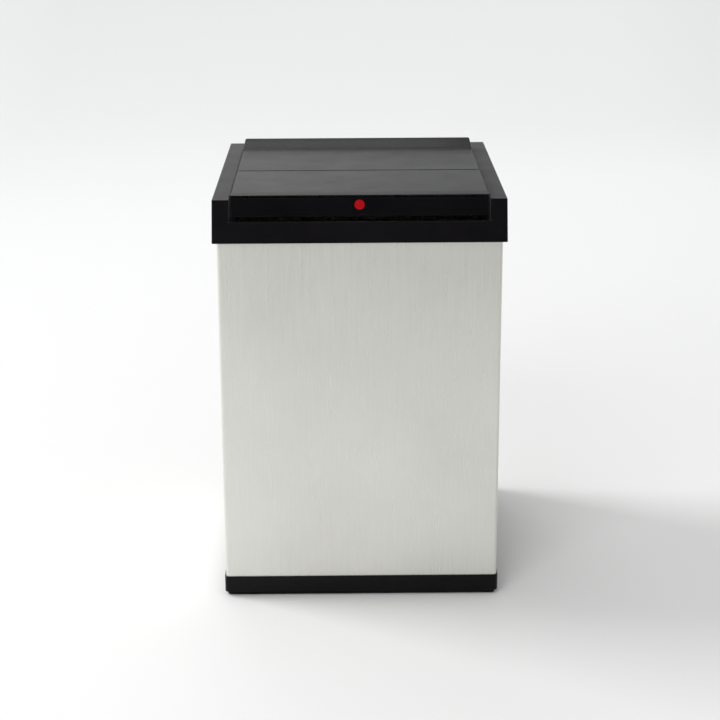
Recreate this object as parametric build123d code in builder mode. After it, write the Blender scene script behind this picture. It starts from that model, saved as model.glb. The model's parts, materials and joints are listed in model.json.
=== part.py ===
from build123d import *
import os
from math import atan2, cos, degrees, radians, sin

# Free-standing kitchen bin: a sheet steel tube on a plastic base, with a plastic head
# that lifts off and a one-piece see-saw lid. X is to the right seen from the front,
# the front faces -Y, and the floor is Z = 0. All sizes are in millimetres.

# Head
head_width = 340.0
head_depth = 365.0
head_height = 50.6
head_draft = 1.4
head_wall = 3.0
head_corner = 3.0
head_edge = 0.8
rim_height = 493.2
rail_width = 19.0
skin = 3.0
inner_wall = 2.5
front_drop = 25.8
post_round = 4.0
front_ledge_reach = 3.8
front_ledge_thickness = 2.0
head_overlap = 5.5
rib_thickness = 2.0
rib_pitch = 52.0
tab_drop = 12.0
tab_rise = 8.0
tab_thickness = 2.0
rest_ledge_reach = 12.0
rest_ledge_thickness = 2.5

# Steel body
head_overhang = 5.1
sheet = 0.8
sheet_corner = 4.0
hem_height = 7.0
seam_width = 14.0
seam_groove_width = 1.2
seam_groove_depth = 0.35

# Base
base_outset = 1.6
base_top = 25.4
base_bottom = 5.5
base_plate = 2.5
base_edge = 0.5
base_ledge_width = 24.0
plinth_inset = 3.4
plinth_wall = 3.0
plinth_clear = 1.0
foot_length = 58.0
foot_width = 13.0
pan_flange = 12.0

# Bag frame
flange_thickness = 1.5
bag_leg_thickness = 1.4
bag_leg_depth = 20.0
notch_width = 60.0
notch_depth = 9.0

# Lid
lid_setback = 4.9
rear_deck = 47.0
lid_gap = 2.4
lid_lip_lift = 4.5
lid_crown = 0.5
lid_band = 26.0
crown_fullness = 0.75
lid_plate = 2.5
lip_thickness = 1.3
lip_taper = 6.0
lid_skirt = 2.5
lid_skirt_drop = 8.0
wedge_length = 35.3
wedge_rise = 9.3
wedge_fullness = 0.56
wedge_side_lean = 0.8
wedge_round = 2.0
flare_length = 18.0
groove_width = 3.0
groove_depth = 1.2
lid_rib_thickness = 1.8
lid_rib_drop = 4.0
lid_rib_count = 5

# Pivot
pivot_ahead = 13.85
pivot_drop = 8.0
pin_diameter = 6.0
pin_running_gap = 0.08
pin_head_diameter = 9.0
pin_head_thickness = 1.8
boss_length = 13.0
boss_diameter = 14.0
bush_diameter = 9.0
bush_flange_diameter = 12.0
bush_flange_thickness = 1.0
bush_length = 7.5
clip_diameter = 9.0
clip_thickness = 0.8
pin_end = 2.0
pin_chamfer = 0.6
opening_angle = 75.0

# Buffers
rest_buffer_length = 22.0
rest_buffer_width = 7.0
rest_buffer_thickness = 1.5
rest_buffer_inset = 47.2
stop_radius = 26.0
stop_length = 12.0
stop_depth = 8.0
stop_reach = 8.5
stop_buffer_thickness = 3.0

# Front bar and badge
bar_half_gap = 2.8
bar_setback = 5.0
bar_top_gap = 0.4
bar_bottom_drop = 20.4
bar_wall = 3.0
bar_flange_drop = 2.5
bar_flange_thickness = 2.5
bar_flange_depth = 16.0
bar_return = 6.0
bar_round = 2.2
bar_screw_inset = 14.8
bar_screw_count = 4
pocket_width = 16.2
pocket_depth = 1.2
pocket_bottom_margin = 2.4
badge_diameter = 11.6
badge_drop = 6.9
badge_rim = 0.9
badge_dome = 0.7
badge_stud_diameter = 4.0

# Counterweight
ballast_inset = 27.2
ballast_width = 18.0
ballast_thickness = 5.0
ballast_from_back = 16.0
ballast_drop = 4.0
ballast_screw_inset = 30.0
ballast_screw_count = 3

# Screws
screw_diameter = 3.6
screw_head_diameter = 7.0
screw_head_height = 2.2
screw_boss_diameter = 8.0
screw_bite = 4.0

# Clearances
seat_gap = 0.2
fit_gap = 0.3
flare_gap = 0.4

# Places worked out from the sizes above
half_x = head_width / 2
half_y = head_depth / 2
front_y = -half_y
head_bottom = rim_height - head_height
body_half_x = half_x - head_overhang
body_half_y = half_y - head_overhang
body_inner_x = body_half_x - sheet
body_inner_y = body_half_y - sheet
body_bottom = base_bottom + base_plate
body_top = head_bottom + head_overlap
hem = 2 * sheet
seat_z = body_top + flange_thickness
well_half_x = half_x - head_draft - rail_width
lid_half_x = well_half_x - lid_gap
flare_half_x = well_half_x - flare_gap
lid_front_y = front_y + lid_setback
lid_back_y = half_y - rear_deck
well_back_y = lid_back_y + lid_gap
lid_lip_z = rim_height + lid_lip_lift
lid_top_z = lid_lip_z + lid_crown
lid_under_z = lid_top_z - lid_plate
lid_skirt_z = rim_height - lid_skirt_drop
wedge_foot_y = lid_back_y - wedge_length
wedge_top_z = lid_top_z + wedge_rise
pivot_y = (lid_front_y + lid_back_y) / 2 - pivot_ahead
pivot_z = rim_height - pivot_drop
bar_front_y = front_y + bar_setback
bar_back_y = bar_front_y + bar_wall
bar_half_x = well_half_x - bar_half_gap
bar_top_z = lid_under_z - bar_top_gap
bar_bottom_z = rim_height - bar_bottom_drop
bar_flange_z = rim_height - bar_flange_drop
bar_end_y = bar_back_y + bar_flange_depth
bar_screw_y = bar_back_y + bar_flange_depth - screw_boss_diameter / 2 - seat_gap
rail_hollow_x = half_x - head_draft - head_wall
rail_hollow_y = half_y - head_draft - head_wall
hollow_top = rim_height - skin
skirt_inner_x = half_x - head_wall
skirt_inner_y = half_y - head_wall
leg_outer_x = body_half_x - hem - fit_gap
leg_outer_y = body_half_y - hem - fit_gap
leg_inner_x = leg_outer_x - bag_leg_thickness
leg_inner_y = leg_outer_y - bag_leg_thickness
tab_outer_x = leg_inner_x - fit_gap
tab_outer_y = leg_inner_y - fit_gap
draft_angle = degrees(atan2(head_draft, head_height))
sides = {"left": -1, "right": 1}
ends = {"front": -1, "rear": 1}


def write(node, piece):
    piece.label = node
    export_step(piece, "parts/" + node + ".step")


def spread(count, spacing):
    return [(i - (count - 1) / 2) * spacing for i in range(count)]


def between(count, half_span):
    return spread(count, 2 * half_span / (count - 1))


# Steel body: one sheet bent into a square tube, hemmed at the rim, lap seam at the back
with BuildPart() as body_shell:
    with BuildSketch(Plane.XY.offset(body_bottom)):
        RectangleRounded(2 * body_half_x, 2 * body_half_y, sheet_corner)
        RectangleRounded(2 * body_inner_x, 2 * body_inner_y, sheet_corner - sheet, mode=Mode.SUBTRACT)
    extrude(amount=body_top - body_bottom)
    with BuildSketch(Plane.XY.offset(body_top - hem_height)):
        RectangleRounded(2 * body_inner_x, 2 * body_inner_y, sheet_corner - sheet)
        RectangleRounded(
            2 * (body_half_x - hem), 2 * (body_half_y - hem), sheet_corner - hem, mode=Mode.SUBTRACT
        )
    extrude(amount=hem_height)
    with BuildSketch(Plane.XY.offset(body_bottom + pan_flange + base_plate)):
        with Locations((0, body_inner_y - sheet / 2)):
            Rectangle(seam_width, sheet)
    extrude(amount=body_top - hem_height - body_bottom - pan_flange - base_plate)
    with BuildSketch(Plane.XY.offset(body_bottom)):
        with Locations((-seam_width / 2, body_half_y - seam_groove_depth / 2)):
            Rectangle(seam_groove_width, seam_groove_depth)
    extrude(amount=body_top - body_bottom, mode=Mode.SUBTRACT)
write("body_shell", body_shell.part)

# Base screws stand inside the pan's flange, two along each side
base_screw_x = body_inner_x - base_ledge_width / 2
base_screw_y = body_inner_y - base_ledge_width / 2
base_screw_places = [
    (sx * base_screw_x, sy * body_half_y / 2) for sx in (-1, 1) for sy in (-1, 1)
] + [(sx * body_half_x / 2, sy * base_screw_y) for sx in (-1, 1) for sy in (-1, 1)]

# Steel pan that closes the tube at the bottom
pan_half_x = body_inner_x - seat_gap
pan_half_y = body_inner_y - seat_gap
with BuildPart() as bottom_panel:
    with BuildSketch(Plane.XY.offset(body_bottom)):
        RectangleRounded(2 * pan_half_x, 2 * pan_half_y, sheet_corner - sheet - seat_gap)
    extrude(amount=pan_flange)
    with BuildSketch(Plane.XY.offset(body_bottom + sheet)):
        RectangleRounded(2 * (pan_half_x - sheet), 2 * (pan_half_y - sheet), sheet_corner - 2 * sheet)
    extrude(amount=pan_flange, mode=Mode.SUBTRACT)
    with BuildSketch(Plane.XY.offset(body_bottom)):
        with Locations(*base_screw_places):
            Circle(screw_diameter / 2)
    extrude(amount=sheet, mode=Mode.SUBTRACT)
write("bottom_panel", bottom_panel.part)

# Plastic base: a channel for the tube's lower edge on a set-back plinth
base_half_x = body_half_x + base_outset
base_half_y = body_half_y + base_outset
plinth_half_x = base_half_x - plinth_inset
plinth_half_y = base_half_y - plinth_inset
foot_corner_x = plinth_half_x - plinth_wall
foot_corner_y = plinth_half_y - plinth_wall
with BuildPart() as base_ring:
    with BuildSketch(Plane.XY.offset(base_bottom)):
        RectangleRounded(2 * base_half_x, 2 * base_half_y, sheet_corner + base_outset)
    extrude(amount=base_top - base_bottom)
    with BuildSketch(Plane.XY.offset(body_bottom)):
        RectangleRounded(
            2 * (body_half_x + seat_gap), 2 * (body_half_y + seat_gap), sheet_corner + seat_gap
        )
    extrude(amount=base_top - body_bottom, mode=Mode.SUBTRACT)
    with BuildSketch(Plane.XY.offset(plinth_clear)):
        RectangleRounded(2 * plinth_half_x, 2 * plinth_half_y, sheet_corner)
        Rectangle(2 * foot_corner_x, 2 * foot_corner_y, mode=Mode.SUBTRACT)
    extrude(amount=base_bottom - plinth_clear)
    with BuildSketch(Plane.XY.offset(base_bottom)):
        Rectangle(2 * (body_inner_x - base_ledge_width), 2 * (body_inner_y - base_ledge_width))
        with Locations(*base_screw_places):
            Circle(screw_diameter / 2)
    extrude(amount=base_plate, mode=Mode.SUBTRACT)
    chamfer(base_ring.faces().sort_by(Axis.Z)[-1].outer_wire().edges(), base_edge)
write("base_ring", base_ring.part)

# Pan-head screws driven up through the base into the pan
with BuildPart() as base_screws:
    with BuildSketch(Plane.XY.offset(base_bottom - screw_head_height)):
        with Locations(*base_screw_places):
            Circle(screw_head_diameter / 2)
    extrude(amount=screw_head_height)
    with BuildSketch(Plane.XY.offset(base_bottom)):
        with Locations(*base_screw_places):
            Circle(screw_diameter / 2)
    extrude(amount=base_plate + sheet + screw_diameter / 3)
write("base_screws", base_screws.part)

# Rubber feet: an L-shaped pad inside each corner of the plinth
for end, sy in ends.items():
    for side, sx in sides.items():
        corner_x = sx * foot_corner_x
        corner_y = sy * foot_corner_y
        with BuildPart() as foot_pad:
            with BuildSketch(Plane.XY):
                with Locations((corner_x - sx * foot_length / 2, corner_y - sy * foot_width / 2)):
                    Rectangle(foot_length, foot_width)
                with Locations((corner_x - sx * foot_width / 2, corner_y - sy * foot_length / 2)):
                    Rectangle(foot_width, foot_length)
            extrude(amount=base_bottom)
            chamfer(foot_pad.faces().sort_by(Axis.Z)[0].edges(), plinth_clear / 2)
        write("foot_pad_" + end + "_" + side, foot_pad.part)

# Bag frame: an angle section ring that hangs on the steel rim and clamps the bag
with BuildPart() as bag_frame:
    with BuildSketch(Plane.XY.offset(body_top)):
        RectangleRounded(2 * body_half_x, 2 * body_half_y, sheet_corner)
    extrude(amount=flange_thickness)
    with BuildSketch(Plane.XY.offset(body_top - bag_leg_depth)):
        RectangleRounded(2 * leg_outer_x, 2 * leg_outer_y, sheet_corner - hem)
    extrude(amount=bag_leg_depth)
    with BuildSketch(Plane.XY.offset(body_top - bag_leg_depth)):
        RectangleRounded(2 * leg_inner_x, 2 * leg_inner_y, sheet_corner / 2)
    extrude(amount=bag_leg_depth + flange_thickness, mode=Mode.SUBTRACT)
    with BuildSketch(Plane.XZ):
        with Locations((0, body_top - bag_leg_depth)):
            SlotOverall(notch_width, 2 * notch_depth)
    extrude(amount=half_y, both=True, mode=Mode.SUBTRACT)
write("bag_frame", bag_frame.part)

# Head: outer block with draft, hollowed from below, with the lid's well cut through
rail_ribs = spread(int(2 * rail_hollow_y / rib_pitch) + 1, rib_pitch)
rib_ys = [y for y in rail_ribs if abs(y - pivot_y) > boss_diameter]
rib_xs = spread(int(2 * well_half_x / rib_pitch), rib_pitch)
with BuildPart() as head_frame:
    with BuildSketch(Plane.XY.offset(head_bottom)):
        RectangleRounded(head_width, head_depth, head_corner)
    extrude(amount=head_height, taper=draft_angle)
    fillet(head_frame.faces().sort_by(Axis.Z)[-1].edges(), head_edge)
    with BuildSketch(Plane.XY.offset(head_bottom)):
        RectangleRounded(2 * skirt_inner_x, 2 * skirt_inner_y, head_corner / 2)
    extrude(amount=seat_z - head_bottom, mode=Mode.SUBTRACT)
    with BuildSketch(Plane.XY.offset(seat_z)):
        Rectangle(2 * rail_hollow_x, 2 * rail_hollow_y)
        Rectangle(2 * (well_half_x + inner_wall), 2 * rail_hollow_y, mode=Mode.SUBTRACT)
        with Locations((0, (well_back_y + inner_wall + rail_hollow_y) / 2)):
            Rectangle(2 * rail_hollow_x, rail_hollow_y - well_back_y - inner_wall)
        with Locations(*[(0, y) for y in rib_ys]):
            Rectangle(head_width, rib_thickness, mode=Mode.SUBTRACT)
        with Locations(*[(x, half_y) for x in rib_xs]):
            Rectangle(rib_thickness, 2 * (half_y - well_back_y), mode=Mode.SUBTRACT)
    extrude(amount=hollow_top - seat_z, mode=Mode.SUBTRACT)
    well_front_y = front_y + head_wall
    with BuildSketch(Plane.XY.offset(seat_z)):
        with Locations((0, (well_front_y + well_back_y) / 2)):
            Rectangle(2 * well_half_x, well_back_y - well_front_y)
    extrude(amount=head_height, mode=Mode.SUBTRACT)
    with BuildSketch(Plane.XY.offset(rim_height - front_drop)):
        with Locations((0, front_y)):
            Rectangle(2 * well_half_x, 4 * head_wall)
        with BuildLine():
            post_y = front_y + head_draft
            bulge = post_round * (1 - cos(radians(45)))
            corner = ThreePointArc(
                (well_half_x, post_y + post_round),
                (well_half_x + bulge, post_y + bulge),
                (well_half_x + post_round, post_y),
            )
            Polyline(
                corner @ 1,
                (well_half_x + post_round, front_y - head_wall),
                (well_half_x, front_y - head_wall),
                corner @ 0,
            )
            mirror(about=Plane.YZ)
        make_face()
    extrude(amount=front_drop, mode=Mode.SUBTRACT)
    with BuildSketch(Plane.XY.offset(seat_z)):
        with Locations((0, well_front_y + front_ledge_reach / 2)):
            Rectangle(2 * well_half_x, front_ledge_reach)
    extrude(amount=front_ledge_thickness)
    with BuildSketch(Plane.XY.offset(lid_skirt_z - rest_buffer_thickness - rest_ledge_thickness)):
        with Locations((0, well_back_y - rest_ledge_reach / 2)):
            Rectangle(2 * well_half_x, rest_ledge_reach)
    extrude(amount=rest_ledge_thickness)
    with BuildSketch(Plane.XY.offset(seat_z - tab_drop)):
        with Locations(
            *[(s * (tab_outer_x - tab_thickness / 2), y) for s in (-1, 1) for y in (rib_ys[0], rib_ys[-2])]
        ):
            with Locations((0, rib_pitch / 2)):
                Rectangle(tab_thickness, rib_pitch + rib_thickness)
        with Locations((0, tab_outer_y - tab_thickness / 2)):
            Rectangle(2 * rib_pitch + rib_thickness, tab_thickness)
    extrude(amount=tab_drop + tab_rise)
    for sx in sides.values():
        with BuildSketch(Plane.YZ.offset(sx * (well_half_x + inner_wall / 2))):
            with Locations((pivot_y, pivot_z)):
                Circle(boss_diameter / 2)
        extrude(amount=sx * (bush_length - inner_wall / 2 - bush_flange_thickness))
        with BuildSketch(Plane.YZ.offset(sx * (well_half_x - stop_reach))):
            stop_y = pivot_y - stop_radius * cos(radians(opening_angle))
            stop_z = pivot_z - stop_radius * sin(radians(opening_angle))
            stop_offset = fit_gap + stop_buffer_thickness + stop_depth / 2
            with Locations(
                (
                    stop_y + stop_offset * sin(radians(opening_angle)),
                    stop_z - stop_offset * cos(radians(opening_angle)),
                )
            ):
                Rectangle(stop_length, stop_depth, rotation=opening_angle)
        extrude(amount=sx * (stop_reach + inner_wall / 2))
    with BuildSketch(Plane.YZ):
        with Locations((pivot_y, pivot_z)):
            Circle(bush_diameter / 2)
    extrude(amount=rail_hollow_x - head_wall, both=True, mode=Mode.SUBTRACT)
write("head_frame", head_frame.part)

# Lid: one moulding with a raised wedge at the back, a groove over the pivot and ribs below
with BuildPart() as swing_lid:
    with BuildSketch(Plane.YZ):
        with BuildLine():
            band_y = lid_front_y + lid_band
            skirt_front_y = bar_end_y + fit_gap
            crown = ThreePointArc(
                (lid_front_y, lid_lip_z),
                (lid_front_y + lid_band / 2, lid_lip_z + crown_fullness * lid_crown),
                (band_y, lid_top_z),
            )
            Line(crown @ 1, (wedge_foot_y, lid_top_z))
            wedge = ThreePointArc(
                (wedge_foot_y, lid_top_z),
                (wedge_foot_y + wedge_length / 2, lid_top_z + wedge_fullness * wedge_rise),
                (lid_back_y, wedge_top_z),
            )
            Polyline(
                wedge @ 1,
                (lid_back_y, lid_skirt_z),
                (skirt_front_y, lid_skirt_z),
                (skirt_front_y, lid_under_z),
                (lid_front_y + lip_taper, lid_under_z),
                (lid_front_y, lid_lip_z - lip_thickness),
                crown @ 0,
            )
        make_face()
    extrude(amount=flare_half_x, both=True)
    with BuildSketch(Plane.YZ):
        with BuildLine():
            inner_foot_y = wedge_foot_y + lid_plate / 2
            inner_back_y = lid_back_y - lid_skirt
            inner_rise = ThreePointArc(
                (inner_foot_y, lid_under_z),
                ((inner_foot_y + inner_back_y) / 2, lid_under_z + wedge_fullness * wedge_rise - seat_gap),
                (inner_back_y, lid_under_z + wedge_rise - seat_gap),
            )
            Polyline(
                inner_rise @ 1,
                (inner_back_y, lid_skirt_z),
                (skirt_front_y, lid_skirt_z),
                (skirt_front_y, lid_under_z),
                inner_rise @ 0,
            )
        make_face()
    extrude(amount=lid_half_x - lid_skirt, both=True, mode=Mode.SUBTRACT)
    with BuildSketch(Plane.XZ):
        with BuildLine():
            wedge_half_x = lid_half_x - wedge_side_lean
            Polyline(
                (-wedge_half_x, wedge_top_z),
                (-lid_half_x, lid_top_z),
                (-flare_half_x, lid_top_z),
                (-flare_half_x, lid_skirt_z),
                (flare_half_x, lid_skirt_z),
                (flare_half_x, lid_top_z),
                (lid_half_x, lid_top_z),
                (wedge_half_x, wedge_top_z),
                close=True,
            )
        make_face()
        corners = vertices().group_by(Axis.Y)[-1]
        fillet(corners, wedge_round)
    extrude(amount=2 * half_y, both=True, mode=Mode.INTERSECT)
    with BuildSketch(Plane.XY.offset(lid_skirt_z)):
        with BuildLine():
            flare_y = lid_front_y + flare_length
            side = Line((lid_half_x, lid_back_y), (lid_half_x, flare_y))
            slope = (flare_half_x - lid_half_x) / 4
            flare = ThreePointArc(
                side @ 1, (lid_half_x + slope, lid_front_y + flare_length / 2), (flare_half_x, lid_front_y)
            )
            Line(flare @ 1, (0, lid_front_y))
            Line((0, lid_back_y), side @ 0)
            mirror(about=Plane.YZ)
        make_face()
    extrude(amount=wedge_top_z - lid_skirt_z, mode=Mode.INTERSECT)
    with BuildSketch(Plane.XZ.offset(-lid_back_y + lid_skirt)):
        with Locations((0, (lid_skirt_z + lid_under_z) / 2)):
            Rectangle(2 * lid_half_x - lid_skirt, lid_under_z - lid_skirt_z)
    extrude(amount=-lid_skirt)
    with BuildSketch(Plane.XY.offset(lid_skirt_z + lid_rib_drop)):
        rib_span = (wedge_foot_y - skirt_front_y) / lid_rib_count
        rib_places = [(0, wedge_foot_y - i * rib_span) for i in range(lid_rib_count)]
        with Locations(*rib_places):
            Rectangle(2 * lid_half_x - lid_skirt, lid_rib_thickness)
    extrude(amount=lid_under_z - lid_skirt_z - lid_rib_drop + lid_plate / 2)
    with BuildSketch(Plane.XY.offset(lid_top_z - groove_depth)):
        with Locations((0, pivot_y)):
            Rectangle(2 * lid_half_x, groove_width)
    extrude(amount=2 * groove_depth, mode=Mode.SUBTRACT)
    for sx in sides.values():
        with BuildSketch(Plane.YZ.offset(sx * (lid_half_x - boss_length))):
            with Locations((pivot_y, pivot_z)):
                Circle(boss_diameter / 2)
            with Locations((pivot_y, (pivot_z + lid_under_z) / 2 + seat_gap)):
                Rectangle(boss_diameter, lid_under_z - pivot_z + seat_gap)
        extrude(amount=sx * boss_length)
    bar_screw_places = [(x, bar_screw_y) for x in between(bar_screw_count, bar_half_x - bar_screw_inset)]
    ballast_y = lid_back_y - ballast_from_back
    ballast_top_z = rim_height - ballast_drop + ballast_thickness
    ballast_half_x = lid_half_x - ballast_inset
    ballast_screw_xs = between(ballast_screw_count, ballast_half_x - ballast_screw_inset)
    ballast_screw_places = [(x, ballast_y) for x in ballast_screw_xs]
    with BuildSketch(Plane.XY.offset(bar_flange_z)):
        with Locations(*bar_screw_places):
            Circle(screw_boss_diameter / 2)
    extrude(amount=lid_under_z - bar_flange_z + lid_plate / 2)
    with BuildSketch(Plane.XY.offset(ballast_top_z)):
        with Locations(*ballast_screw_places):
            Circle(screw_boss_diameter / 2)
    extrude(amount=lid_top_z - ballast_top_z + wedge_rise / 4)
    with BuildSketch(Plane.XY.offset(bar_flange_z)):
        with Locations(*bar_screw_places):
            Circle(screw_diameter / 2)
    extrude(amount=screw_bite, mode=Mode.SUBTRACT)
    with BuildSketch(Plane.XY.offset(ballast_top_z)):
        with Locations(*ballast_screw_places):
            Circle(screw_diameter / 2)
    extrude(amount=screw_bite, mode=Mode.SUBTRACT)
    with BuildSketch(Plane.YZ):
        with Locations((pivot_y, pivot_z)):
            Circle(pin_diameter / 2)
    extrude(amount=lid_half_x, both=True, mode=Mode.SUBTRACT)
write("swing_lid", swing_lid.part)

# Front bar: the push bar under the lid's lip, screwed up into the lid
with BuildPart() as lid_front_bar:
    with BuildSketch(Plane.YZ):
        with BuildLine():
            Polyline(
                (bar_front_y, bar_bottom_z),
                (bar_front_y, bar_top_z),
                (bar_back_y, bar_top_z),
                (bar_back_y, bar_flange_z),
                (bar_end_y, bar_flange_z),
                (bar_end_y, bar_flange_z - bar_flange_thickness),
                (bar_back_y, bar_flange_z - bar_flange_thickness),
                (bar_back_y, bar_bottom_z + bar_wall),
                (bar_back_y + bar_return, bar_bottom_z + bar_wall),
                (bar_back_y + bar_return, bar_bottom_z),
                close=True,
            )
        make_face()
    extrude(amount=bar_half_x, both=True)
    for sx in sides.values():
        with BuildSketch(Plane.YZ.offset(sx * bar_half_x)):
            with Locations(((bar_front_y + bar_end_y) / 2, (bar_bottom_z + bar_top_z) / 2)):
                Rectangle(bar_end_y - bar_front_y, bar_top_z - bar_bottom_z)
        extrude(amount=-sx * bar_wall)
    front_edges = lid_front_bar.faces().sort_by(Axis.Y)[0].edges()
    fillet(front_edges.sort_by(Axis.Z)[-1], bar_round)
    fillet(lid_front_bar.faces().sort_by(Axis.Y)[0].edges().filter_by(Axis.X), head_edge / 2)
    pocket_bottom_z = bar_bottom_z + pocket_bottom_margin
    with BuildSketch(Plane.XZ.offset(-bar_front_y - pocket_depth)):
        with Locations((0, (pocket_bottom_z + bar_top_z) / 2)):
            Rectangle(pocket_width, bar_top_z - pocket_bottom_z)
    extrude(amount=2 * pocket_depth, mode=Mode.SUBTRACT)
    badge_z = rim_height - badge_drop
    with BuildSketch(Plane.XZ.offset(-bar_back_y)):
        with Locations((0, badge_z)):
            Circle(badge_stud_diameter / 2)
    extrude(amount=bar_wall, mode=Mode.SUBTRACT)
    with BuildSketch(Plane.XY.offset(bar_flange_z - bar_flange_thickness)):
        with Locations(*bar_screw_places):
            Circle(screw_diameter / 2)
    extrude(amount=bar_flange_thickness, mode=Mode.SUBTRACT)
write("lid_front_bar", lid_front_bar.part)

# Badge: a blank domed disc on a stud, revolved about its own axis and set in the pocket
badge_face_y = bar_front_y + pocket_depth
badge_plane = Plane(origin=(0, badge_face_y, badge_z), x_dir=(1, 0, 0), z_dir=(0, 0, 1))
with BuildPart() as badge_disc:
    with BuildSketch(badge_plane):
        with BuildLine():
            edge = Line((0, bar_wall - pocket_depth), (badge_stud_diameter / 2, bar_wall - pocket_depth))
            rim = Polyline(
                edge @ 1,
                (badge_stud_diameter / 2, 0),
                (badge_diameter / 2, 0),
                (badge_diameter / 2, -badge_rim),
            )
            dome = RadiusArc(
                rim @ 1,
                (0, -badge_rim - badge_dome),
                (badge_diameter**2 / 4 + badge_dome**2) / (2 * badge_dome),
            )
            Line(dome @ 1, edge @ 0)
        make_face()
    revolve(axis=Axis((0, badge_face_y, badge_z), (0, 1, 0)))
write("badge_disc", badge_disc.part)

# Screws that hold the bar and the counterweight, heads below
bar_screw_head_z = bar_flange_z - bar_flange_thickness
ballast_screw_head_z = ballast_top_z - ballast_thickness
with BuildPart() as front_bar_screws:
    with BuildSketch(Plane.XY.offset(bar_screw_head_z - screw_head_height)):
        with Locations(*bar_screw_places):
            Circle(screw_head_diameter / 2)
    extrude(amount=screw_head_height)
    with BuildSketch(Plane.XY.offset(bar_screw_head_z)):
        with Locations(*bar_screw_places):
            Circle(screw_diameter / 2)
    extrude(amount=bar_flange_thickness + screw_bite)
write("front_bar_screws", front_bar_screws.part)

with BuildPart() as counterweight_screws:
    with BuildSketch(Plane.XY.offset(ballast_screw_head_z - screw_head_height)):
        with Locations(*ballast_screw_places):
            Circle(screw_head_diameter / 2)
    extrude(amount=screw_head_height)
    with BuildSketch(Plane.XY.offset(ballast_screw_head_z)):
        with Locations(*ballast_screw_places):
            Circle(screw_diameter / 2)
    extrude(amount=ballast_thickness + screw_bite)
write("counterweight_screws", counterweight_screws.part)

# Steel bar under the wedge that swings the lid shut
with BuildPart() as counterweight_bar:
    with BuildSketch(Plane.XY.offset(ballast_screw_head_z)):
        with Locations((0, ballast_y)):
            RectangleRounded(2 * ballast_half_x, ballast_width, ballast_width / 6)
        with Locations(*ballast_screw_places):
            Circle(screw_diameter / 2, mode=Mode.SUBTRACT)
    extrude(amount=ballast_thickness)
write("counterweight_bar", counterweight_bar.part)

# Pivot: flanged bush in each rail, pin through the lid's boss and a push-on clip outside
for side, sx in sides.items():
    bush_start = sx * (well_half_x - bush_flange_thickness)
    bush_end = well_half_x - bush_flange_thickness + bush_length
    with BuildPart() as pivot_bush:
        with BuildSketch(Plane.YZ.offset(bush_start)):
            with Locations((pivot_y, pivot_z)):
                Circle(bush_diameter / 2)
        extrude(amount=sx * bush_length)
        with BuildSketch(Plane.YZ.offset(bush_start)):
            with Locations((pivot_y, pivot_z)):
                Circle(bush_flange_diameter / 2)
        extrude(amount=sx * bush_flange_thickness)
        with BuildSketch(Plane.YZ.offset(bush_start)):
            with Locations((pivot_y, pivot_z)):
                Circle(pin_diameter / 2 + pin_running_gap)
        extrude(amount=sx * bush_length, mode=Mode.SUBTRACT)
    write("pivot_bush_" + side, pivot_bush.part)

    pin_start = lid_half_x - boss_length
    pin_length = bush_end + fit_gap + clip_thickness + pin_end - pin_start
    with BuildPart() as pivot_pin:
        with BuildSketch(Plane.YZ.offset(sx * (pin_start - pin_head_thickness))):
            with Locations((pivot_y, pivot_z)):
                Circle(pin_head_diameter / 2)
        extrude(amount=sx * pin_head_thickness)
        with BuildSketch(Plane.YZ.offset(sx * pin_start)):
            with Locations((pivot_y, pivot_z)):
                Circle(pin_diameter / 2)
        extrude(amount=sx * pin_length)
        chamfer(pivot_pin.edges().filter_by(GeomType.CIRCLE).sort_by(Axis.X)[-1 if sx > 0 else 0], pin_chamfer)
    write("pivot_pin_" + side, pivot_pin.part)

    with BuildPart() as pin_clip:
        with BuildSketch(Plane.YZ.offset(sx * (bush_end + fit_gap))):
            with Locations((pivot_y, pivot_z)):
                Circle(clip_diameter / 2)
                Circle(pin_diameter / 2, mode=Mode.SUBTRACT)
        extrude(amount=sx * clip_thickness)
    write("pin_clip_" + side, pin_clip.part)

    # Rubber pad on the rear ledge that the closed lid rests on
    rest_y = lid_back_y - rest_buffer_width / 2
    with BuildPart() as rest_buffer:
        with BuildSketch(Plane.XY.offset(lid_skirt_z - rest_buffer_thickness)):
            with Locations((sx * (lid_half_x - rest_buffer_inset), rest_y)):
                RectangleRounded(rest_buffer_length, rest_buffer_width, rest_buffer_width / 4)
        extrude(amount=rest_buffer_thickness)
    write("rest_buffer_" + side, rest_buffer.part)

    # Rubber pad on the lug that the open lid comes up against
    buffer_offset = fit_gap + stop_buffer_thickness / 2
    with BuildPart() as stop_buffer:
        with BuildSketch(Plane.YZ.offset(sx * (well_half_x - stop_reach))):
            with Locations(
                (
                    stop_y + buffer_offset * sin(radians(opening_angle)),
                    stop_z - buffer_offset * cos(radians(opening_angle)),
                )
            ):
                Rectangle(stop_length, stop_buffer_thickness, rotation=opening_angle)
        extrude(amount=sx * stop_reach)
    write("stop_buffer_" + side, stop_buffer.part)
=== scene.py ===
import bpy
import bmesh
import json
from math import cos, pi, radians, sin
from mathutils import Matrix, Vector, noise


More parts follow.
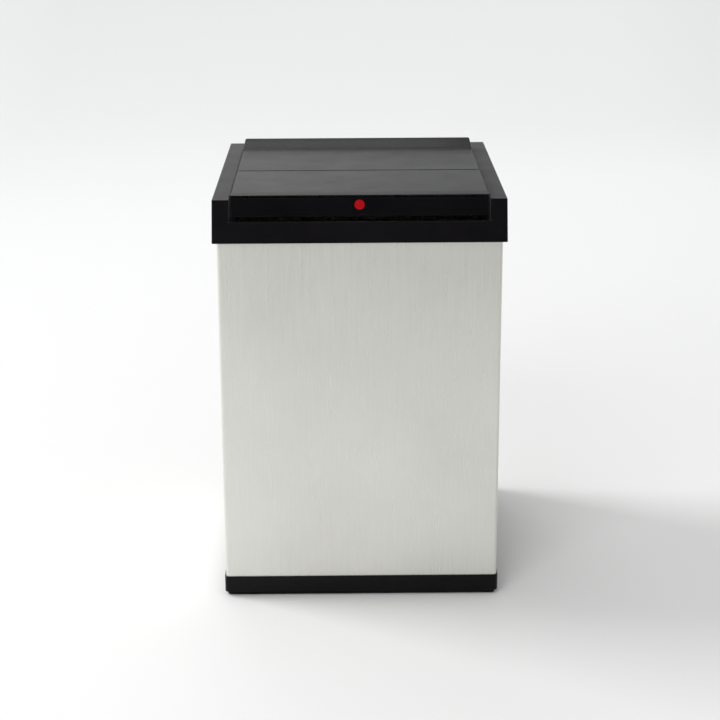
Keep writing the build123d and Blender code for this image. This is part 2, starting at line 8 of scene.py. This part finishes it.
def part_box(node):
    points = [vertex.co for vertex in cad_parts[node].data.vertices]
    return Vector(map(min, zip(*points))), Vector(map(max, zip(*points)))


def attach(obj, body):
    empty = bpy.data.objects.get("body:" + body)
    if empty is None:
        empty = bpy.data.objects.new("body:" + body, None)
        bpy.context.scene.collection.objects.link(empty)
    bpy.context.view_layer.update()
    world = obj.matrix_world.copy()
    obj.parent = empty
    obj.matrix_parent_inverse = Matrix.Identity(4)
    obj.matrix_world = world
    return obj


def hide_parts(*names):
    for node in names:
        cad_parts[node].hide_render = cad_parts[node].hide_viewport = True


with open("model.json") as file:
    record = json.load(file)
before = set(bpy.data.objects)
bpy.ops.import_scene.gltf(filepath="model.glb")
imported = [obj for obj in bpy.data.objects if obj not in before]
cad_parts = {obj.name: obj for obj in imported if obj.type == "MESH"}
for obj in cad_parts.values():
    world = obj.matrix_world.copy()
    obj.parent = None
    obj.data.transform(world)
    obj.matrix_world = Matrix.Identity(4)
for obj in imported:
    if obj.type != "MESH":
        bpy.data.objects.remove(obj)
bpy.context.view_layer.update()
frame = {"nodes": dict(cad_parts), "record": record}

cadNodes = frame["nodes"]
scene = bpy.context.scene
print("frame loaded:", len(cadNodes), "nodes")

# camera, fitted to the bin's edges in a 720 x 720 frame

cameraSettings = {
    "focalPixels": 1734.0,
    "framePixels": 720.0,
    "sensor": 36.0,
    "spot": (-0.016, -2.118, 0.907),
    "pitch": 17.35,
    "heading": 0.46,
    "roll": 0.27,
    "clip": (0.05, 60.0),
}


def placeCamera(s):
    data = bpy.data.cameras.new("studioCamera")
    data.sensor_width = s["sensor"]
    data.lens = s["focalPixels"] * s["sensor"] / s["framePixels"]
    data.clip_start, data.clip_end = s["clip"]
    camera = bpy.data.objects.new("studioCamera", data)
    scene.collection.objects.link(camera)
    turn = Matrix.Rotation(-radians(s["heading"]), 4, "Z")
    tip = Matrix.Rotation(radians(90.0 - s["pitch"]), 4, "X")
    lean = Matrix.Rotation(-radians(s["roll"]), 4, "Z")
    camera.matrix_world = Matrix.Translation(s["spot"]) @ turn @ tip @ lean
    scene.camera = camera


placeCamera(cameraSettings)
print("camera placed")

# node helpers for the materials

fieldLow, fieldHigh = 0.3, 0.7  # most of a noise field lies between these two


def newMaterial(name):
    mat = bpy.data.materials.new(name)
    mat.use_nodes = True
    tree = mat.node_tree
    return mat, tree, tree.nodes["Principled BSDF"]


def setSockets(node, values):
    for socket, value in values.items():
        node.inputs[socket].default_value = value
    return node


def objectSpace(tree, scale=(1.0, 1.0, 1.0)):
    coords = tree.nodes.new("ShaderNodeTexCoord")
    mapping = setSockets(tree.nodes.new("ShaderNodeMapping"), {"Scale": scale})
    tree.links.new(coords.outputs["Object"], mapping.inputs["Vector"])
    return mapping.outputs["Vector"]


def noiseField(tree, s):
    node = tree.nodes.new("ShaderNodeTexNoise")
    setSockets(node, {"Scale": s["scale"], "Detail": s["detail"], "Roughness": s["grit"]})
    tree.links.new(objectSpace(tree, s.get("space", (1.0, 1.0, 1.0))), node.inputs["Vector"])
    return node.outputs["Fac"]


def remap(tree, value, source, target):
    node = tree.nodes.new("ShaderNodeMapRange")
    setSockets(node, dict(zip(("From Min", "From Max", "To Min", "To Max"), (*source, *target))))
    tree.links.new(value, node.inputs["Value"])
    return node.outputs["Result"]


def toneRamp(tree, value, places, tones):
    node = tree.nodes.new("ShaderNodeValToRGB")
    for element, place, tone in zip(node.color_ramp.elements, places, tones):
        element.position = place
        element.color = (*tone, 1.0)
    tree.links.new(value, node.inputs["Fac"])
    return node.outputs["Color"]


def bumpFrom(tree, height, strength, depth, under=None):
    node = setSockets(tree.nodes.new("ShaderNodeBump"), {"Strength": strength, "Distance": depth})
    tree.links.new(height, node.inputs["Height"])
    if under is not None:
        tree.links.new(under, node.inputs["Normal"])
    return node.outputs["Normal"]


def paint(tree, shader, field, s):
    tone = toneRamp(tree, field, (fieldLow, fieldHigh), s["tones"])
    rough = remap(tree, field, (fieldLow, fieldHigh), s["rough"])
    tree.links.new(tone, shader.inputs["Base Color"])
    tree.links.new(rough, shader.inputs["Roughness"])


# moulded plastic: a fine mould grain, faint mottling and a soft sheen; one entry for each slot

plasticSettings = {
    "head_plastic": dict(
        name="headBlackPlastic",
        tones=((0.0042, 0.0036, 0.0046), (0.0062, 0.0054, 0.0066)),
        rough=(0.29, 0.36), level=0.045, sheen=0.12,
    ),
    "lid_plastic": dict(
        name="lidBlackPlastic",
        tones=((0.0040, 0.0038, 0.0041), (0.0062, 0.0060, 0.0062)),
        rough=(0.20, 0.26), level=0.045, sheen=0.10,
    ),
    "bar_plastic": dict(
        name="barBlackPlastic",
        tones=((0.0020, 0.0019, 0.0027), (0.0034, 0.0032, 0.0042)),
        rough=(0.30, 0.36), level=0.045, sheen=0.15,
    ),
    "base_plastic": dict(
        name="baseBlackPlastic",
        tones=((0.0016, 0.0015, 0.0015), (0.0028, 0.0026, 0.0026)),
        rough=(0.16, 0.24), level=0.14, sheen=0.10,
    ),
    "frame_plastic": dict(
        name="bagFramePlastic",
        tones=((0.020, 0.020, 0.022), (0.030, 0.030, 0.032)),
        rough=(0.40, 0.50), level=0.4, sheen=0.0,
    ),
    "bush_plastic": dict(
        name="bushPlastic",
        tones=((0.50, 0.49, 0.46), (0.58, 0.57, 0.54)),
        rough=(0.40, 0.50), level=0.5, sheen=0.0,
    ),
}
mouldSettings = {
    "mottle": dict(scale=24.0, detail=4.0, grit=0.6),
    "grain": dict(scale=1500.0, detail=2.0, grit=0.6),
    "grainStrength": 0.5,
    "grainDepth": 0.00003,
    "edgeRound": 0.00025,
    "sheenRough": 0.35,
}


def mouldedPlastic(s, mould):
    mat, tree, shader = newMaterial(s["name"])
    paint(tree, shader, noiseField(tree, mould["mottle"]), s)
    edge = setSockets(tree.nodes.new("ShaderNodeBevel"), {"Radius": mould["edgeRound"]})
    grain = noiseField(tree, mould["grain"])
    strength, depth = mould["grainStrength"], mould["grainDepth"]
    bump = bumpFrom(tree, grain, strength, depth, edge.outputs["Normal"])
    tree.links.new(bump, shader.inputs["Normal"])
    setSockets(shader, {
        "Specular IOR Level": s["level"],
        "Sheen Weight": s["sheen"],
        "Sheen Roughness": mould["sheenRough"],
    })
    return mat


# steel wall: a fine upright grain over broad faint blotches, its reflections spread up and down

steelSettings = {
    "tones": ((0.700, 0.695, 0.655), (0.760, 0.757, 0.715)),
    "toneSpan": (0.15, 0.85),
    "rough": (0.26, 0.36),
    "spread": 0.6,
    "spreadTurn": 0.25,  # 0.0 spreads reflections sideways, 0.25 up and down
    "fine": dict(space=(4200.0, 4200.0, 50.0), scale=1.0, detail=2.0, grit=0.55),
    "fineStrength": 0.5,
    "fineDepth": 0.000012,
    "coarse": dict(space=(900.0, 900.0, 14.0), scale=1.0, detail=3.0, grit=0.6),
    "blotch": dict(scale=9.0, detail=3.0, grit=0.5),
    "blotchStrength": 0.35,
    "blotchDepth": 0.0008,
}


def brushedSteel(name, s):
    mat, tree, shader = newMaterial(name)
    coarse = noiseField(tree, s["coarse"])
    blotch = noiseField(tree, s["blotch"])
    both = tree.nodes.new("ShaderNodeMath")
    both.operation = "ADD"
    halfShare = (0.0, 0.5)  # grain and blotches each give half of the tone
    for field, socket in ((coarse, both.inputs[0]), (blotch, both.inputs[1])):
        tree.links.new(remap(tree, field, (fieldLow, fieldHigh), halfShare), socket)
    tone = toneRamp(tree, both.outputs[0], s["toneSpan"], s["tones"])
    tree.links.new(tone, shader.inputs["Base Color"])
    rough = remap(tree, coarse, (fieldLow, fieldHigh), s["rough"])
    tree.links.new(rough, shader.inputs["Roughness"])
    broad = bumpFrom(tree, blotch, s["blotchStrength"], s["blotchDepth"])
    bump = bumpFrom(tree, noiseField(tree, s["fine"]), s["fineStrength"], s["fineDepth"], broad)
    tree.links.new(bump, shader.inputs["Normal"])
    tangent = tree.nodes.new("ShaderNodeTangent")
    tangent.direction_type = "RADIAL"
    tangent.axis = "Z"
    tree.links.new(tangent.outputs["Tangent"], shader.inputs["Tangent"])
    setSockets(shader, {
        "Metallic": 1.0,
        "Anisotropic": s["spread"],
        "Anisotropic Rotation": s["spreadTurn"],
    })
    return mat


# inner sheet, weight, pins and screws: zinc-coated metal with a faint cloud

metalSettings = {
    "plain_steel": dict(
        name="galvanisedSheet",
        tones=((0.36, 0.36, 0.37), (0.46, 0.46, 0.47)), rough=(0.38, 0.50),
        cloud=dict(scale=60.0, detail=4.0, grit=0.6),
    ),
    "zinc_steel": dict(
        name="zincScrews",
        tones=((0.42, 0.42, 0.43), (0.52, 0.52, 0.52)), rough=(0.26, 0.38),
        cloud=dict(scale=200.0, detail=4.0, grit=0.6),
    ),
}
metalBump = {"strength": 0.2, "depth": 0.0001}


def zincMetal(s, bump):
    mat, tree, shader = newMaterial(s["name"])
    cloud = noiseField(tree, s["cloud"])
    paint(tree, shader, cloud, s)
    tree.links.new(bumpFrom(tree, cloud, **bump), shader.inputs["Normal"])
    setSockets(shader, {"Metallic": 1.0})
    return mat


# rubber feet and buffers: matt, finely specked

rubberSettings = {
    "tones": ((0.006, 0.006, 0.006), (0.012, 0.012, 0.012)),
    "rough": (0.70, 0.85),
    "speck": dict(scale=900.0, detail=3.0, grit=0.6),
    "speckStrength": 0.4,
    "speckDepth": 0.0001,
    "level": 0.25,
}


def softRubber(name, s):
    mat, tree, shader = newMaterial(name)
    speck = noiseField(tree, s["speck"])
    paint(tree, shader, speck, s)
    bump = bumpFrom(tree, speck, s["speckStrength"], s["speckDepth"])
    tree.links.new(bump, shader.inputs["Normal"])
    setSockets(shader, {"Specular IOR Level": s["level"]})
    return mat


# badge: plain glossy red

enamelSettings = {
    "tones": ((0.40, 0.0010, 0.0045), (0.47, 0.0016, 0.0070)),
    "rough": (0.16, 0.24),
    "cloud": dict(scale=300.0, detail=2.0, grit=0.5),
    "level": 0.12,
}


def redEnamel(name, s):
    mat, tree, shader = newMaterial(name)
    paint(tree, shader, noiseField(tree, s["cloud"]), s)
    setSockets(shader, {"Specular IOR Level": s["level"]})
    return mat


materials = {slot: mouldedPlastic(s, mouldSettings) for slot, s in plasticSettings.items()}
materials.update({slot: zincMetal(s, metalBump) for slot, s in metalSettings.items()})
materials["brushed_steel"] = brushedSteel("brushedSteelWall", steelSettings)
materials["rubber"] = softRubber("footRubber", rubberSettings)
materials["red_gloss"] = redEnamel("badgeRed", enamelSettings)

slotOf = {row["node"]: row["material_slot"] for row in frame["record"]["subparts"]}
for nodeName, node in cadNodes.items():
    node.data.materials.clear()
    node.data.materials.append(materials[slotOf[nodeName]])
print("materials ready:", len(materials))

# mesh helpers

mergeGap = 1e-6


def newVerts(made):
    return [g for g in made if isinstance(g, bmesh.types.BMVert)]


def newEdges(made):
    return [g for g in made if isinstance(g, bmesh.types.BMEdge)]


def objectFrom(bm, name):
    mesh = bpy.data.meshes.new(name)
    bm.to_mesh(mesh)
    bm.free()
    mesh.polygons.foreach_set("use_smooth", [True] * len(mesh.polygons))
    piece = bpy.data.objects.new(name, mesh)
    scene.collection.objects.link(piece)
    return piece


def finishPiece(bm, name, nodeName, body, creaseAngle):
    piece = objectFrom(bm, name)
    piece.data.set_sharp_from_angle(angle=radians(creaseAngle))
    piece.data.materials.append(materials[slotOf[nodeName]])
    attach(piece, body)
    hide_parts(nodeName)
    evened = piece.modifiers.new("evenShading", "WEIGHTED_NORMAL")
    evened.mode = "FACE_AREA"
    evened.weight = 50
    evened.keep_sharp = True
    print("piece", name, len(piece.data.polygons), "faces")


# head, lid, bar, base and bag frame: the moulded shapes, their edges rounded as a mould leaves them

mouldingSettings = {
    "pieces": {
        "headMoulding": dict(node="head_frame", body="head", round=0.0008),
        "lidMoulding": dict(node="swing_lid", body="lid", round=0.0007),
        "pushBar": dict(node="lid_front_bar", body="lid", round=0.0004),
        "baseMoulding": dict(node="base_ring", body="bin", round=0.0006),
        "bagClampRing": dict(node="bag_frame", body="bag_ring", round=0.0004),
    },
    "segments": 2,
    "flatAngle": 0.5,  # faces closer than this to one plane are joined
    "edgeAngle": 28.0,  # an edge sharper than this is rounded
    "roomShare": 1.3,  # where each edge beside it is longer than this many widths
    "creaseAngle": 13.0,
}


def softenedCopy(nodeName, width, s):
    bm = bmesh.new()
    bm.from_mesh(cadNodes[nodeName].data)
    bmesh.ops.remove_doubles(bm, verts=bm.verts, dist=mergeGap)
    bmesh.ops.dissolve_limit(
        bm, angle_limit=radians(s["flatAngle"]), verts=bm.verts, edges=bm.edges,
    )
    limit, room = radians(s["edgeAngle"]), s["roomShare"] * width
    sharp = [e for e in bm.edges if len(e.link_faces) == 2 and e.calc_face_angle() > limit]
    sharp = [e for e in sharp if min(g.calc_length() for v in e.verts for g in v.link_edges) > room]
    print("softened", nodeName, len(sharp), "edges")
    bmesh.ops.bevel(
        bm, geom=sharp, offset=width, offset_type="OFFSET", segments=s["segments"], profile=0.5,
        affect="EDGES", clamp_overlap=True, material=-1,
    )
    return bm


for pieceName, row in mouldingSettings["pieces"].items():
    softened = softenedCopy(row["node"], row["round"], mouldingSettings)
    finishPiece(softened, pieceName, row["node"], row["body"], mouldingSettings["creaseAngle"])

# steel tube: walls drawn up from a rounded square, rolled hem, lap seam at the back

shellSettings = {
    "corner": 0.0040,
    "cornerSegments": 6,
    "longShare": 4,  # an edge longer than this many corner radii is a wall
    "sheet": 0.0008,
    "hem": 0.0016,
    "hemHeight": 0.0070,
    "hemSegments": 4,
    "rise": 36,
    "across": 40,
    "wallNear": 1e-5,  # how near the wall's plane a vertex counts as on it
    "seamPlace": -0.0070,
    "seamHalf": 0.0007,
    "seamDepth": 0.0004,
    "seamBand": 0.001,  # how far in from the back the rippled seam may lie
    "seamMiddle": 0.2,  # the part of seamHalf that counts as the seam's middle line
    "rippleHeight": 0.00016,
    "rippleScale": 8.0,
    "fadeMargin": 0.035,
    "creaseAngle": 40.0,
}


def cutSeamLines(bm, halfY, s):
    for offset in (-s["seamHalf"], 0.0, s["seamHalf"]):
        place = s["seamPlace"] + offset
        back = [e for e in bm.edges if all(v.co.y > halfY - s["wallNear"] for v in e.verts)]
        ends = [(e, sorted(v.co.x for v in e.verts)) for e in back]
        crossing = [e for e, (left, right) in ends if left < place < right]
        if crossing:
            first, second = crossing[0].verts
            share = (place - first.co.x) / (second.co.x - first.co.x)
            bmesh.utils.edge_split(crossing[0], first, share)


def rippleWalls(verts, low, high, s):
    halfX, halfY = high[0], high[1]
    for v in verts:
        onLong = abs(v.co.y) > halfY - s["wallNear"]
        onShort = abs(v.co.x) > halfX - s["wallNear"]
        ends = min(v.co.z - low[2], high[2] - v.co.z)
        sides = halfX - abs(v.co.x) if onLong else halfY - abs(v.co.y)
        fade = min(max(min(ends, sides) / s["fadeMargin"], 0.0), 1.0)
        fade = fade * fade * (3.0 - 2.0 * fade)
        if onLong or onShort:
            out = Vector((0.0, v.co.y, 0.0)) if onLong else Vector((v.co.x, 0.0, 0.0))
            lift = noise.noise(v.co * s["rippleScale"]) * s["rippleHeight"] * fade
            v.co += out.normalized() * lift
        onSeam = abs(v.co.x - s["seamPlace"]) < s["seamMiddle"] * s["seamHalf"]
        if onSeam and v.co.y > halfY - s["seamBand"]:
            v.co.y -= s["seamDepth"]


def steelTube(s):
    low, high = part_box("body_shell")
    halfX, halfY = high[0], high[1]
    hemRadius = s["hem"] / 2
    bm = bmesh.new()
    outline = Matrix.Diagonal((halfX, halfY, 1.0, 1.0))
    bmesh.ops.create_grid(bm, x_segments=1, y_segments=1, size=1.0, matrix=outline)
    bmesh.ops.translate(bm, verts=bm.verts, vec=(0.0, 0.0, low[2]))
    bmesh.ops.bevel(
        bm, geom=list(bm.verts), offset=s["corner"], offset_type="OFFSET",
        segments=s["cornerSegments"], profile=0.5, affect="VERTICES", material=-1,
    )
    longEdges = [e for e in bm.edges if e.calc_length() > s["longShare"] * s["corner"]]
    bmesh.ops.subdivide_edges(bm, edges=longEdges, cuts=s["across"])
    cutSeamLines(bm, halfY, s)
    bmesh.ops.delete(bm, geom=list(bm.faces), context="FACES_ONLY")
    ring = list(bm.edges)

    def grow(edges, dz=0.0, inward=0.0):
        made = bmesh.ops.extrude_edge_only(bm, edges=edges)["geom"]
        bmesh.ops.translate(bm, verts=newVerts(made), vec=(0.0, 0.0, dz))
        ratio = ((halfX - inward) / halfX, (halfY - inward) / halfY, 1.0)
        bmesh.ops.scale(bm, verts=newVerts(made), vec=ratio)
        return newEdges(made)

    step = (high[2] - hemRadius - low[2]) / s["rise"]
    for _ in range(s["rise"]):
        ring = grow(ring, dz=step)
    outer = list(bm.verts)
    for k in range(s["hemSegments"]):
        a0, a1 = pi * k / s["hemSegments"], pi * (k + 1) / s["hemSegments"]
        ring = grow(ring, hemRadius * (sin(a1) - sin(a0)), hemRadius * (cos(a0) - cos(a1)))
    ring = grow(ring, dz=-s["hemHeight"])
    ring = grow(ring, inward=-(s["hem"] - s["sheet"]))
    floorLine = low[2] - (high[2] - hemRadius - s["hemHeight"])
    grow(ring, dz=floorLine)
    bmesh.ops.remove_doubles(bm, verts=bm.verts, dist=mergeGap)
    bmesh.ops.bridge_loops(bm, edges=[e for e in bm.edges if len(e.link_faces) == 1])
    rippleWalls([v for v in outer if v.is_valid], low, high, s)
    bmesh.ops.recalc_face_normals(bm, faces=bm.faces)
    return bm


finishPiece(
    steelTube(shellSettings), "steelTube", "body_shell", "bin", shellSettings["creaseAngle"]
)

# badge: a blank domed disc with a rounded rim, in the front bar's pocket

badgeSettings = {
    "segments": 64,
    "rings": 10,
    "capRings": 1.5,  # the middle cap's radius, in ring widths
    "rimRound": 0.00025,
    "rimSteps": ((0.7, 0.3), (0.3, 0.7)),  # shares outward and down
    "seat": 0.00002,
    "pocketDepth": 0.0012,
    "domeShare": 0.44,
    "creaseAngle": 50.0,
}


def domedBadge(s):
    low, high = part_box("badge_disc")
    radius = (high[0] - low[0]) / 2
    middle = Vector(((low[0] + high[0]) / 2, 0.0, (low[2] + high[2]) / 2))
    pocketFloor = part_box("lid_front_bar")[0][1] + s["pocketDepth"]
    rise = pocketFloor - low[1]
    dome = rise * s["domeShare"]
    flatRadius = radius - s["rimRound"]
    bm = bmesh.new()
    bmesh.ops.create_circle(bm, cap_ends=True, segments=s["segments"], radius=flatRadius)
    for _ in range(s["rings"]):
        cap = [f for f in bm.faces if len(f.verts) == s["segments"]]
        ringWidth = flatRadius / (s["rings"] + s["capRings"])
        bmesh.ops.inset_region(bm, faces=cap, thickness=ringWidth)
    curve = (flatRadius**2 + dome**2) / (2 * dome)
    for v in bm.verts:
        v.co.z = rise - dome + (curve**2 - v.co.xy.length**2) ** 0.5 - (curve - dome)
    rim = [e for e in bm.edges if len(e.link_faces) == 1]
    for outward, drop in s["rimSteps"]:
        made = bmesh.ops.extrude_edge_only(bm, edges=rim)["geom"]
        verts = newVerts(made)
        bmesh.ops.translate(bm, verts=verts, vec=(0.0, 0.0, -s["rimRound"] * drop))
        now = verts[0].co.xy.length
        wider = (now + s["rimRound"] * outward) / now
        bmesh.ops.scale(bm, verts=verts, vec=(wider, wider, 1.0))
        rim = newEdges(made)
    made = bmesh.ops.extrude_edge_only(bm, edges=rim)["geom"]
    for v in newVerts(made):
        v.co.z = s["seat"]
    bmesh.ops.edgeloop_fill(bm, edges=newEdges(made))
    bmesh.ops.recalc_face_normals(bm, faces=bm.faces)
    upright = Matrix.Rotation(radians(90.0), 3, "X")
    bmesh.ops.rotate(bm, verts=bm.verts, cent=(0, 0, 0), matrix=upright)
    bmesh.ops.translate(bm, verts=bm.verts, vec=middle + Vector((0.0, pocketFloor, 0.0)))
    return bm


finishPiece(
    domedBadge(badgeSettings), "blankBadge", "badge_disc", "lid", badgeSettings["creaseAngle"]
)

# floor with a swept-up back; its tones carry painted light: painted shade on the front floor
# outside the camera's view, which the steel mirrors, a far floor painted lighter to the right
# against the left lamp's falloff, and a high backdrop outside the view painted bright at the left
# and dark at the right, which the plastic tops mirror

stageSettings = {
    "halfWidth": 7.0,
    "front": -5.0,
    "back": 3.2,
    "sweep": 1.6,
    "sweepSteps": 24,
    "height": 4.5,
    # painted shade: the floor in front, out of the camera's view, is painted darker, standing in
    # for an unlit room for the steel to mirror
    "paintedShadeTone": (0.50, 0.505, 0.50),
    "paintedShadeSpan": (-2.3, -0.9),
    "floorTone": (0.84, 0.845, 0.84),
    # painted light: the far floor is painted darker at the left and lighter at the right, evening
    # out the falloff of the lamp on the left
    "farPaintedFillTones": ((0.76, 0.77, 0.765), (0.95, 0.96, 0.955)),
    "farPaintedFillAcross": (-1.0, 0.9),
    "farPaintedFillSpan": (0.3, 2.4),
    # painted light: the backdrop high up, out of view, is painted bright at the left and dark at
    # the right, so the plastic tops mirror a light falling from the left
    "highPaintedLightTones": ((0.97, 0.97, 0.96), (0.42, 0.425, 0.43)),
    "highPaintedLightAcross": (-0.7, 0.7),
    "highPaintedLightSpan": (1.1, 1.6),
    "rough": 0.9,
    "level": 0.1,
}


def sweptFloor(s):
    bm = bmesh.new()
    start = bm.verts.new((-s["halfWidth"], s["front"], 0.0))
    end = bm.verts.new((s["halfWidth"], s["front"], 0.0))
    edges = [bm.edges.new((start, end))]
    moves = [(s["back"] - s["front"], 0.0)]
    quarter = pi / 2 / s["sweepSteps"]
    for k in range(s["sweepSteps"]):
        a0, a1 = quarter * k, quarter * (k + 1)
        moves.append((s["sweep"] * (sin(a1) - sin(a0)), s["sweep"] * (cos(a0) - cos(a1))))
    moves.append((0.0, s["height"]))
    for dy, dz in moves:
        made = bmesh.ops.extrude_edge_only(bm, edges=edges)["geom"]
        bmesh.ops.translate(bm, verts=newVerts(made), vec=(0.0, dy, dz))
        edges = newEdges(made)
    bmesh.ops.recalc_face_normals(bm, faces=bm.faces)
    return bm


def paleFloorPaintedLight(name, s):
    mat, tree, shader = newMaterial(name)
    split = tree.nodes.new("ShaderNodeSeparateXYZ")
    tree.links.new(objectSpace(tree), split.inputs["Vector"])

    def along(axis, span):
        return remap(tree, split.outputs[axis], span, (0.0, 1.0))

    def toned(axis, span, tones):
        return toneRamp(tree, along(axis, span), (0.0, 1.0), tones)

    def blended(share, first, second):
        mix = tree.nodes.new("ShaderNodeMix")
        mix.data_type = "RGBA"
        for value, socket in ((share, "Factor"), (first, "A"), (second, "B")):
            tree.links.new(value, mix.inputs[socket])
        return mix.outputs["Result"]

    # painted shade: the floor is painted darker towards the front
    near = toned("Y", s["paintedShadeSpan"], (s["paintedShadeTone"], s["floorTone"]))
    # painted light: the far floor is painted lighter to the right
    far = toned("X", s["farPaintedFillAcross"], s["farPaintedFillTones"])
    # painted light: the high backdrop is painted bright at the left and dark at the right
    high = toned("X", s["highPaintedLightAcross"], s["highPaintedLightTones"])
    ground = blended(along("Y", s["farPaintedFillSpan"]), near, far)
    whole = blended(along("Z", s["highPaintedLightSpan"]), ground, high)
    tree.links.new(whole, shader.inputs["Base Color"])
    setSockets(shader, {"Roughness": s["rough"], "Specular IOR Level": s["level"]})
    return mat


studioFloor = objectFrom(sweptFloor(stageSettings), "studioFloor")
studioFloor.data.materials.append(paleFloorPaintedLight("paleFloorPaintedLight", stageSettings))

# soft light: a large window far to the left, a small panel behind, a faint fill in front

lightSettings = {
    "lamps": {
        "keyWindow": dict(place=(-6.9, 2.2, 4.8), size=3.4, power=445.0),
        "topPanel": dict(place=(-0.3, 1.9, 2.7), size=1.4, power=13.0),
        "frontFill": dict(place=(-1.0, -2.4, 2.2), size=1.4, power=26.0),
    },
    "aim": (0.0, 0.0, 0.25),
    "worldTone": (1.0, 1.0, 1.0, 1.0),
    "worldLevel": 0.55,
}


def areaLamp(name, aim, place, size, power):
    data = bpy.data.lights.new(name, "AREA")
    data.shape = "SQUARE"
    data.size = size
    data.energy = power
    lamp = bpy.data.objects.new(name, data)
    lamp.location = place
    towards = Vector(aim) - Vector(place)
    lamp.rotation_euler = towards.to_track_quat("-Z", "Y").to_euler()
    scene.collection.objects.link(lamp)


for lampName, lampRow in lightSettings["lamps"].items():
    areaLamp(lampName, lightSettings["aim"], **lampRow)

world = bpy.data.worlds.new("studioWorld")
world.use_nodes = True
setSockets(world.node_tree.nodes["Background"], {
    "Color": lightSettings["worldTone"],
    "Strength": lightSettings["worldLevel"],
})
scene.world = world
scene.view_settings.view_transform = "Standard"
print("stage and lights ready")
